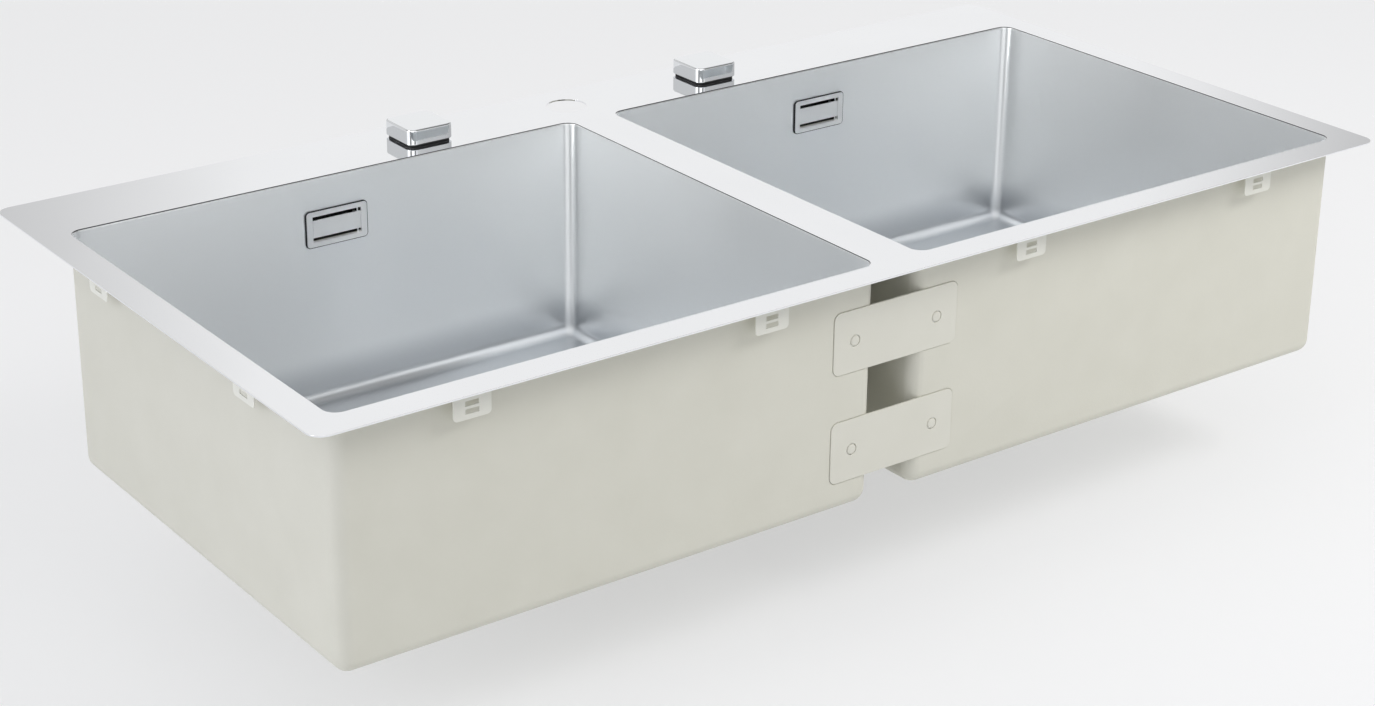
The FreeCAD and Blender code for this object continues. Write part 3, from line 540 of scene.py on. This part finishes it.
def makeSeam(side, word):
    x = side * deck["bowlX"]
    bm = bmesh.new()
    joinRings(bm, [ringAt(x, seam["near"], seam["low"]), ringAt(x, seam["near"], seam["high"]),
                   ringAt(x, seam["far"], seam["high"]), ringAt(x, seam["far"], seam["low"])], close=True)
    bmesh.ops.recalc_face_normals(bm, faces=bm.faces)
    newPiece("weldSeam" + word, bm, seamShadowSteel, "sink", sharpAngle=50)


grindCorners(silkStainless)
for side, word in sides:
    makeBowl(side, word)
    makeSeam(side, word)
print("bowls made")


# the sprayed coat ends just short of the brace plates, which leaves a thin dark line round them
brace = {"halfLength": 60.9, "halfHeight": 25.5, "corner": 6.0, "highZ": -54.64, "lowZ": -144.8,
         "gap": 0.6, "frontSkin": (-230.2, -229.1), "backSkin": (178.6, 179.7)}

for word in ("left", "right"):
    coat = copyNode("sound_coat_" + word, soundCoat, "sink", sharpAngle=40)
    grooves = bmesh.new()
    for z in (brace["highZ"], brace["lowZ"]):
        for skin in (brace["frontSkin"], brace["backSkin"]):
            addPlate(grooves, 0, z, brace["halfLength"] + brace["gap"], brace["halfHeight"] + brace["gap"],
                     brace["corner"] + brace["gap"], *skin)
    subtract(coat, grooves)
for word in ("front", "back", "left", "right"):
    copyNode("fixing_tabs_" + word, coatedSteel, "sink", edge=0.25)
copyNode("brace_plates", sprayedSteel, "sink", edge=0.25)
copyNode("rim_tape", foamTape, "sink")

# a weld button's outline gives radius and height, with the shallow trough that grinding leaves round it
plugWeld = {"outline": ((0.0, 0.55), (2.4, 0.52), (3.4, 0.36), (3.9, 0.1), (4.1, -0.2), (4.2, -1.2),
                        (0.0, -1.2)), "steps": 40, "dropX": 40.5, "frontY": -230.5, "backY": 180.0}


# one weld button facing -Y at the origin
def weldButton():
    bm = bmesh.new()
    turns = [2 * math.pi * step / plugWeld["steps"] for step in range(plugWeld["steps"])]
    joinRings(bm, [[Vector((radius * math.cos(turn), -height, radius * math.sin(turn))) for turn in turns]
                   for radius, height in plugWeld["outline"]])
    bmesh.ops.remove_doubles(bm, verts=bm.verts, dist=merging["distance"] * mm)
    bmesh.ops.recalc_face_normals(bm, faces=bm.faces)
    mesh = bpy.data.meshes.new("weldButton")
    bm.to_mesh(mesh)
    bm.free()
    mesh.shade_smooth()
    button = bpy.data.objects.new("weldButton", mesh)
    bpy.context.collection.objects.link(button)
    return button


def newTree(name, inputs):
    tree = bpy.data.node_groups.new(name, "GeometryNodeTree")
    tree.interface.new_socket("Geometry", in_out="INPUT", socket_type="NodeSocketGeometry")
    for label, kind in inputs.items():
        tree.interface.new_socket(label, in_out="INPUT", socket_type="NodeSocket" + kind)
    tree.interface.new_socket("Geometry", in_out="OUTPUT", socket_type="NodeSocketGeometry")
    return tree, addNode(tree, "NodeGroupInput"), addNode(tree, "NodeGroupOutput")


# runs a node tree on an empty mesh and keeps the result as a plain mesh
def growPiece(name, tree, values, body, sharpAngle):
    host = bpy.data.objects.new(name, bpy.data.meshes.new(name + "Host"))
    bpy.context.collection.objects.link(host)
    grow = host.modifiers.new("grow", "NODES")
    grow.node_group = tree
    for item in tree.interface.items_tree:
        if item.in_out == "INPUT" and item.name in values:
            grow[item.identifier] = values[item.name]
    graph = bpy.context.evaluated_depsgraph_get()
    result = bpy.data.meshes.new_from_object(host.evaluated_get(graph))
    host.modifiers.remove(grow)
    host.data = result
    result.shade_smooth()
    result.set_sharp_from_angle(angle=math.radians(sharpAngle))
    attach(host, body)
    return host


# copies of one object on a two by two grid of points in the XZ plane
def weldTree(material):
    tree, given, output = newTree("plugWelds", {"Button": "Object", "Pitch X": "Float", "Pitch Z": "Float",
                                                "Middle": "Vector", "Turn": "Vector"})
    grid = addNode(tree, "GeometryNodeMeshGrid", values={"Vertices X": 2, "Vertices Y": 2},
                   links={"Size X": given.outputs["Pitch X"], "Size Y": given.outputs["Pitch Z"]})
    stand = addNode(tree, "GeometryNodeTransform", values={"Rotation": (math.pi / 2, 0, 0)},
                    links={"Geometry": grid.outputs["Mesh"], "Translation": given.outputs["Middle"]})
    info = addNode(tree, "GeometryNodeObjectInfo", links={"Object": given.outputs["Button"]})
    copies = addNode(tree, "GeometryNodeInstanceOnPoints",
                     links={"Points": stand.outputs["Geometry"], "Instance": info.outputs["Geometry"],
                            "Rotation": given.outputs["Turn"]})
    real = addNode(tree, "GeometryNodeRealizeInstances", links={"Geometry": copies.outputs["Instances"]})
    paint = addNode(tree, "GeometryNodeSetMaterial", values={"Material": material},
                    links={"Geometry": real.outputs["Geometry"]})
    tree.links.new(paint.outputs["Geometry"], output.inputs["Geometry"])
    return tree


button = weldButton()
weldsTree = weldTree(sprayedSteel)
middleZ = (brace["highZ"] + brace["lowZ"]) / 2
for word, y, turn in (("Front", plugWeld["frontY"], 0.0), ("Back", plugWeld["backY"], math.pi)):
    growPiece("plugWelds" + word, weldsTree, {
        "Button": button, "Pitch X": 2 * plugWeld["dropX"] * mm,
        "Pitch Z": (brace["highZ"] - brace["lowZ"]) * mm, "Middle": (0.0, y * mm, middleZ * mm),
        "Turn": (0.0, 0.0, turn)}, "sink", sharpAngle=60)
bpy.data.objects.remove(button)
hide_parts("brace_welds")
print("coat, tabs and braces made")


# a cover's set-back panel is free of the frame along its left edge
coverSlit = {"x": -22.2, "halfWidth": 0.3, "halfHeight": 7.5, "corner": 0.1, "frontY": 176.0,
             "backY": 178.0, "edge": 0.15, "sharpAngle": 35}
for side, word in sides:
    cover = copyNode("overflow_cover_" + word.lower(), satinStainless, "sink")
    slit = bmesh.new()
    addPlate(slit, side * deck["bowlX"] + coverSlit["x"], bowl["holeZ"], coverSlit["halfWidth"],
             coverSlit["halfHeight"], coverSlit["corner"], coverSlit["frontY"], coverSlit["backY"])
    subtract(cover, slit)
    cover.data.set_sharp_from_angle(angle=math.radians(coverSlit["sharpAngle"]))
    easeEdges(cover, coverSlit["edge"])

# black rubber lip round each cover, seen as a dark line that also stands in for the shadow gap round the
# cover, as painted shadow
coverSeal = {"halfLength": 28.0, "halfHeight": 15.25, "corner": 3.0, "leastCorner": 0.5, "spare": 0.7,
             "inner": 0.3, "frontY": 176.25, "backY": 177.45}


def makeCoverSealShadow(side, word):
    bm = bmesh.new()
    rings = []
    for inset, y in ((-coverSeal["spare"], coverSeal["backY"]), (-coverSeal["spare"], coverSeal["frontY"]),
                     (coverSeal["inner"], coverSeal["frontY"]), (coverSeal["inner"], coverSeal["backY"])):
        rings.append(plateRing(side * deck["bowlX"], y, bowl["holeZ"], coverSeal["halfLength"] - inset,
                               coverSeal["halfHeight"] - inset,
                               max(coverSeal["corner"] - inset, coverSeal["leastCorner"])))
    joinRings(bm, rings, close=True)
    bmesh.ops.recalc_face_normals(bm, faces=bm.faces)
    newPiece("coverSeal" + word, bm, blackRubber, "sink", sharpAngle=50)


for side, word in sides:
    makeCoverSealShadow(side, word)
copyNode("overflow_gaskets", blackRubber, "sink")
copyNode("overflow_housings", blackPlastic, "sink", edge=0.5)

# ribbed hose that drops from the housing and turns forward to the waste, with a smooth cuff at each end
hose = {"tubeRadius": 9.9, "ribRadius": 10.7, "ribWidth": 2.6, "ribPitch": 4.0, "cuff": 22.0,
        "bend": 14.0, "bendSteps": 12, "y": 192.3, "topZ": -57.6, "portZ": -250.3, "endY": 24.25,
        "facets": 40}


def hoseRoute(x):
    curve = bpy.data.curves.new("hoseRoute", "CURVE")
    curve.dimensions = "3D"
    bend = hose["bend"]
    points = [Vector((x, hose["y"], hose["topZ"]))]
    for step in range(hose["bendSteps"] + 1):
        angle = math.radians(90 * step / hose["bendSteps"])
        points.append(Vector((x, hose["y"] - bend + bend * math.cos(angle),
                              hose["portZ"] + bend - bend * math.sin(angle))))
    points.append(Vector((x, hose["endY"], hose["portZ"])))
    line = curve.splines.new("POLY")
    line.points.add(len(points) - 1)
    for point, place in zip(line.points, points):
        point.co = (*(place * mm), 1.0)
    route = bpy.data.objects.new("hoseRoute", curve)
    bpy.context.collection.objects.link(route)
    return route


# a plain tube along the route, ribs at an even pitch between the cuffs, and the two cuffs
def hoseTree(material):
    tree, given, output = newTree("ribbedHose", {"Route": "Object", "Tube Radius": "Float",
                                                 "Rib Radius": "Float", "Rib Width": "Float",
                                                 "Rib Pitch": "Float", "Cuff": "Float"})
    info = addNode(tree, "GeometryNodeObjectInfo", links={"Object": given.outputs["Route"]})
    route = info.outputs["Geometry"]
    cuff = given.outputs["Cuff"]
    length = addNode(tree, "GeometryNodeCurveLength", links={"Curve": route})
    far = addNode(tree, "ShaderNodeMath", {"operation": "SUBTRACT"},
                  links={0: length.outputs["Length"], 1: cuff})
    profile = addNode(tree, "GeometryNodeCurvePrimitiveCircle", values={"Resolution": hose["facets"]},
                      links={"Radius": given.outputs["Tube Radius"]})
    tube = addNode(tree, "GeometryNodeCurveToMesh",
                   links={"Curve": route, "Profile Curve": profile.outputs["Curve"]})
    middle = addNode(tree, "GeometryNodeTrimCurve", {"mode": "LENGTH"},
                     links={"Curve": route, 4: cuff, 5: far.outputs[0]})
    dots = addNode(tree, "GeometryNodeCurveToPoints", {"mode": "LENGTH"},
                   links={"Curve": middle.outputs["Curve"], "Length": given.outputs["Rib Pitch"]})
    rib = addNode(tree, "GeometryNodeMeshCylinder", {"fill_type": "NGON"}, {"Vertices": hose["facets"]},
                  {"Radius": given.outputs["Rib Radius"], "Depth": given.outputs["Rib Width"]})
    ribs = addNode(tree, "GeometryNodeInstanceOnPoints",
                   links={"Points": dots.outputs["Points"], "Instance": rib.outputs["Mesh"],
                          "Rotation": dots.outputs["Rotation"]})
    cuffProfile = addNode(tree, "GeometryNodeCurvePrimitiveCircle", values={"Resolution": hose["facets"]},
                          links={"Radius": given.outputs["Rib Radius"]})
    forms = [tube.outputs["Mesh"], ribs.outputs["Instances"]]
    for stretch in ({5: cuff}, {4: far.outputs[0], 5: length.outputs["Length"]}):
        end = addNode(tree, "GeometryNodeTrimCurve", {"mode": "LENGTH"}, {4: 0.0},
                      {"Curve": route, **stretch})
        sleeve = addNode(tree, "GeometryNodeCurveToMesh", values={"Fill Caps": True},
                         links={"Curve": end.outputs["Curve"], "Profile Curve": cuffProfile.outputs["Curve"]})
        forms.append(sleeve.outputs["Mesh"])
    together = addNode(tree, "GeometryNodeJoinGeometry")
    for form in forms:
        tree.links.new(form, together.inputs["Geometry"])
    real = addNode(tree, "GeometryNodeRealizeInstances", links={"Geometry": together.outputs["Geometry"]})
    paint = addNode(tree, "GeometryNodeSetMaterial", values={"Material": material},
                    links={"Geometry": real.outputs["Geometry"]})
    tree.links.new(paint.outputs["Geometry"], output.inputs["Geometry"])
    return tree


hosesTree = hoseTree(whitePlastic)
for side, word in sides:
    route = hoseRoute(side * deck["bowlX"])
    growPiece("overflowHose" + word, hosesTree, {
        "Route": route, "Tube Radius": hose["tubeRadius"] * mm, "Rib Radius": hose["ribRadius"] * mm,
        "Rib Width": hose["ribWidth"] * mm, "Rib Pitch": hose["ribPitch"] * mm,
        "Cuff": hose["cuff"] * mm}, "sink", sharpAngle=30)
    bpy.data.objects.remove(route)
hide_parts("overflow_pipes")
print("overflows made")


# wastes keep the CAD shapes, each with its finish, its slot and the width of its rounded edges
for node, material, slot, edge in (("waste_flanges", chromePlate, "polished_steel", 0.4),
                                   ("waste_seats", chromePlate, "polished_steel", 0.2),
                                   ("flange_seals", blackRubber, "black_rubber", 0.0),
                                   ("waste_gaskets", blackRubber, "black_rubber", 0.0),
                                   ("waste_ring_nuts", whitePlastic, "white_plastic", 0.5),
                                   ("waste_collars", whitePlastic, "white_plastic", 0.4),
                                   ("waste_bodies", whitePlastic, "white_plastic", 0.4),
                                   ("waste_body_seals", blackRubber, "black_rubber", 0.0)):
    copyNode(node, material, "sink", edge)
for word in ("left", "right"):
    copyNode("strainer_basket_" + word, chromePlate, "strainer_" + word, edge=0.2)
    copyNode("strainer_seal_" + word, blackRubber, "strainer_" + word, edge=0.3)
    copyNode("lifter_pin_" + word, whitePlastic, "lifter_" + word)
print("wastes made")


# square cap with a slightly domed top; the skirt gives inset and height from the low edge upwards
knob = {"half": 21.75, "corner": 7.0, "leastCorner": 0.6, "cornerSteps": 10, "sideSteps": 4,
        "low": 4.4, "top": 17.4, "skirt": ((0.35, 0.0), (0.1, 0.1), (0.0, 0.35), (0.0, 0.7)),
        "shoulder": 0.3, "edge": 1.5, "edgeSteps": 6, "crown": 0.12, "crownInsets": (3.0, 8.0, 14.0),
        "wall": 1.75, "roof": 1.6}


def makeKnobCap(side, word):
    def ring(inset, z):
        return roundedRing(side * deck["knobX"], deck["ledgeY"], z, knob["half"] - inset,
                           knob["half"] - inset, max(knob["corner"] - inset, knob["leastCorner"]),
                           knob["cornerSteps"], knob["sideSteps"])

    bm = bmesh.new()
    brow = knob["top"] - knob["crown"]
    rings = [ring(inset, knob["low"] + height) for inset, height in knob["skirt"]]
    rings.append(ring(0.0, brow - knob["edge"] - knob["shoulder"]))
    for step in range(knob["edgeSteps"] + 1):
        angle = math.radians(90 * step / knob["edgeSteps"])
        rings.append(ring(knob["edge"] * (1 - math.cos(angle)), brow - knob["edge"] * (1 - math.sin(angle))))
    for inset in knob["crownInsets"]:
        share = (knob["half"] - inset) / knob["half"]
        rings.append(ring(inset, knob["top"] - knob["crown"] * share * share))
    bm.faces.new(joinRings(bm, rings)[-1])
    inner = [ring(knob["skirt"][0][0], knob["low"]), ring(knob["wall"], knob["low"]),
             ring(knob["wall"], knob["top"] - knob["roof"])]
    bm.faces.new(joinRings(bm, inner)[-1])
    bmesh.ops.remove_doubles(bm, verts=bm.verts, dist=merging["distance"] * mm)
    bmesh.ops.recalc_face_normals(bm, faces=bm.faces)
    piece = newPiece("knobCap" + word, bm, chromePlate, "knob_" + word.lower(), sharpAngle=50)
    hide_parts("knob_cap_" + word.lower())


for side, word in sides:
    makeKnobCap(side, word)
    body = "knob_" + word.lower()
    # the black insert shows as a dark band between cap and deck, and its black also stands in for the shade
    # in that gap, as painted shade
    copyNode("knob_insert_" + word.lower(), blackPlastic, body, edge=0.2)
    copyNode("knob_spindle_" + word.lower(), whitePlastic, body, edge=0.2)
copyNode("knob_housings", blackPlastic, "sink", edge=0.5)
copyNode("housing_lids", blackPlastic, "sink", edge=0.3)
copyNode("knob_nuts", blackPlastic, "sink", edge=0.3)
copyNode("knob_washers", blackRubber, "sink")
print("knobs made")


# soft pale studio: floor size and lamp places in metres, lamps with their power, size and colour
studio = {"floorSize": 16.0, "floorDrop": 0.5, "floor": "#f2f3f5", "floorRoughness": 0.9,
          "floorShine": 0.1, "floorGlow": 0.5, "ambient": 0.64, "leftGain": 0.2, "backGain": 0.1,
          "ambientColour": "#fcfcfc", "backdrop": "#ffffff", "zenith": 0.8, "bandStart": 0.47,
          "bandEnd": 0.53, "zenithStart": 0.88, "zenithEnd": 0.94, "aim": (0, 0, -0.1),
          "lamps": {"rightLamp": ((1.2, -1.3, 1.4), 20.0, 0.9, "#f8f6f6"),
                    "leftLamp": ((-2.6, -0.4, 1.0), 15.5, 2.0, "#eaecff")}}

# what polished metal sees near the horizon: bright panels in front and on the left, pale grey behind,
# in degrees from the back towards the right, and brightness
horizon = ((-180, 0.3), (-172, 0.3), (-165, 1.6), (-135, 1.6), (-128, 0.3), (-112, 0.3), (-105, 1.6),
           (-75, 1.5), (-60, 0.8), (-50, 0.75), (10, 0.7), (21.5, 0.66), (27, 0.97), (47, 0.97),
           (52, 0.6), (75, 0.6), (115, 0.6), (143, 0.62), (152, 0.7), (163, 1.35), (172, 0.3),
           (180, 0.3))
# the same from a third of the way up: dark screens for the knobs' edges, and on the left a narrow
# tall panel that the bowls' upright corners draw as a white line
upper = ((-180, 1.7), (-90, 1.4), (-85, 9.0), (-69, 9.0), (-64, 0.6), (-52, 0.3), (-26, 0.3),
         (-18, 0.75), (12, 0.75), (20, 0.2), (30, 0.45), (50, 0.45), (60, 0.2), (143, 0.2),
         (152, 1.6), (180, 1.6))


def makeFloor():
    size = studio["floorSize"] / 2
    z = cadLow.z - studio["floorDrop"] * mm
    mesh = bpy.data.meshes.new("studioFloor")
    mesh.from_pydata([(-size, -size, z), (size, -size, z), (size, size, z), (-size, size, z)], [],
                     [(0, 1, 2, 3)])
    floor = bpy.data.objects.new("studioFloor", mesh)
    bpy.context.collection.objects.link(floor)
    material, tree, shader = newMaterial("palePaperFloor")
    shader.inputs["Base Color"].default_value = hexToLinear(studio["floor"])
    shader.inputs["Roughness"].default_value = studio["floorRoughness"]
    shader.inputs["Specular IOR Level"].default_value = studio["floorShine"]
    path = addNode(tree, "ShaderNodeLightPath")
    seen = addNode(tree, "ShaderNodeMath", {"operation": "MAXIMUM"},
                   links={0: path.outputs["Is Camera Ray"], 1: path.outputs["Is Glossy Ray"]})
    share = addNode(tree, "ShaderNodeMath", {"operation": "MULTIPLY"}, {1: studio["floorGlow"]},
                    {0: seen.outputs[0]})
    white = addNode(tree, "ShaderNodeEmission", values={"Strength": 1.0})
    mix = addNode(tree, "ShaderNodeMixShader",
                  links={0: share.outputs[0], 1: shader.outputs[0], 2: white.outputs[0]})
    tree.links.new(mix.outputs[0], tree.nodes["Material Output"].inputs["Surface"])
    mesh.materials.append(material)


def makeWorld():
    world = bpy.data.worlds.new("studioWorld")
    bpy.context.scene.world = world
    world.use_nodes = True
    tree = world.node_tree
    tree.nodes.clear()
    output = addNode(tree, "ShaderNodeOutputWorld")
    path = addNode(tree, "ShaderNodeLightPath")
    ray = addNode(tree, "ShaderNodeTexCoord")
    parts = addNode(tree, "ShaderNodeSeparateXYZ", links={0: ray.outputs["Generated"]})
    # soft light for matt surfaces, a little stronger from the left and the back
    left = addNode(tree, "ShaderNodeMath", {"operation": "MULTIPLY_ADD"},
                   {1: -studio["leftGain"], 2: studio["ambient"]}, {0: parts.outputs["X"]})
    level = addNode(tree, "ShaderNodeMath", {"operation": "MULTIPLY_ADD"}, {1: studio["backGain"]},
                    {0: parts.outputs["Y"], 2: left.outputs[0]})
    soft = addNode(tree, "ShaderNodeBackground", values={"Color": hexToLinear(studio["ambientColour"])},
                   links={"Strength": level.outputs[0]})
    # polished metal sees the two rings of panels, and a plain grey overhead
    bearing = addNode(tree, "ShaderNodeMath", {"operation": "ARCTAN2"},
                      links={0: parts.outputs["X"], 1: parts.outputs["Y"]})
    turn = addNode(tree, "ShaderNodeMapRange", values={"From Min": -math.pi, "From Max": math.pi},
                   links={"Value": bearing.outputs[0]})
    rings = []
    for table in (horizon, upper):
        ring = addNode(tree, "ShaderNodeValToRGB", links={"Fac": turn.outputs["Result"]})
        stops = ring.color_ramp.elements
        while len(stops) < len(table):
            stops.new(0.5)
        for stop, (angle, value) in zip(stops, table):
            stop.position = (angle + 180) / 360
            stop.color = (value, value, value, 1.0)
        rings.append(ring.outputs["Color"])
    climb = addNode(tree, "ShaderNodeMapRange", {"interpolation_type": "SMOOTHSTEP"},
                    {"From Min": studio["bandStart"], "From Max": studio["bandEnd"]},
                    {"Value": parts.outputs["Z"]})
    lower = addNode(tree, "ShaderNodeMix", {"data_type": "RGBA"},
                    links={0: climb.outputs["Result"], 6: rings[0], 7: rings[1]})
    height = addNode(tree, "ShaderNodeMapRange", {"interpolation_type": "SMOOTHSTEP"},
                     {"From Min": studio["zenithStart"], "From Max": studio["zenithEnd"]},
                     {"Value": parts.outputs["Z"]})
    sky = addNode(tree, "ShaderNodeMix", {"data_type": "RGBA"}, {7: (studio["zenith"],) * 3 + (1.0,)},
                  {0: height.outputs["Result"], 6: lower.outputs[2]})
    shine = addNode(tree, "ShaderNodeBackground", values={"Strength": 1.0}, links={"Color": sky.outputs[2]})
    metal = addNode(tree, "ShaderNodeMixShader",
                    links={0: path.outputs["Is Glossy Ray"], 1: soft.outputs[0], 2: shine.outputs[0]})
    # the camera sees plain white, also through what is transparent
    white = addNode(tree, "ShaderNodeBackground",
                    values={"Color": hexToLinear(studio["backdrop"]), "Strength": 1.0})
    plain = addNode(tree, "ShaderNodeMath", {"operation": "MAXIMUM"},
                    links={0: path.outputs["Is Camera Ray"], 1: path.outputs["Is Transmission Ray"]})
    mix = addNode(tree, "ShaderNodeMixShader",
                  links={0: plain.outputs[0], 1: metal.outputs[0], 2: white.outputs[0]})
    tree.links.new(mix.outputs[0], output.inputs["Surface"])


# lamps light the matt surfaces, and polished metal sees only the world
def makeLamp(name, place, power, size, colour):
    lamp = bpy.data.lights.new(name, "AREA")
    lamp.energy = power
    lamp.size = size
    lamp.color = hexToLinear(colour)[:3]
    holder = bpy.data.objects.new(name, lamp)
    bpy.context.collection.objects.link(holder)
    holder.location = place
    holder.visible_glossy = False
    holder.rotation_mode = "QUATERNION"
    holder.rotation_quaternion = (Vector(place) - Vector(studio["aim"])).to_track_quat("Z", "Y")


# the photograph's view, fitted to the corners of the deck, bowls and coat: angles in radians,
# focal length and shift in the photograph's pixels, sensor in millimetres
shot = {"place": (-1245.27, -1639.55, 739.2), "yaw": 0.6391, "pitch": -0.3799, "roll": 0.0101,
        "focal": 2680.32, "shift": -82.5, "imageWidth": 1375, "sensor": 36}


def makeCamera():
    yaw, pitch, roll = shot["yaw"], shot["pitch"], shot["roll"]
    forward = Vector((math.sin(yaw) * math.cos(pitch), math.cos(yaw) * math.cos(pitch), math.sin(pitch)))
    right = Vector((math.cos(yaw), -math.sin(yaw), 0))
    up = right.cross(forward)
    across = right * math.cos(roll) + up * math.sin(roll)
    above = up * math.cos(roll) - right * math.sin(roll)
    data = bpy.data.cameras.new("camera")
    data.sensor_width = shot["sensor"]
    data.lens = shot["focal"] / shot["imageWidth"] * shot["sensor"]
    data.shift_y = shot["shift"] / shot["imageWidth"]
    camera = bpy.data.objects.new("camera", data)
    bpy.context.collection.objects.link(camera)
    aim = Matrix((across, above, -forward)).transposed().to_4x4()
    camera.matrix_world = Matrix.Translation(Vector(shot["place"]) * mm) @ aim
    bpy.context.scene.camera = camera


makeFloor()
makeWorld()
for name, lamp in studio["lamps"].items():
    makeLamp(name, *lamp)
makeCamera()
bpy.context.scene.view_settings.view_transform = "Standard"
print("studio made")
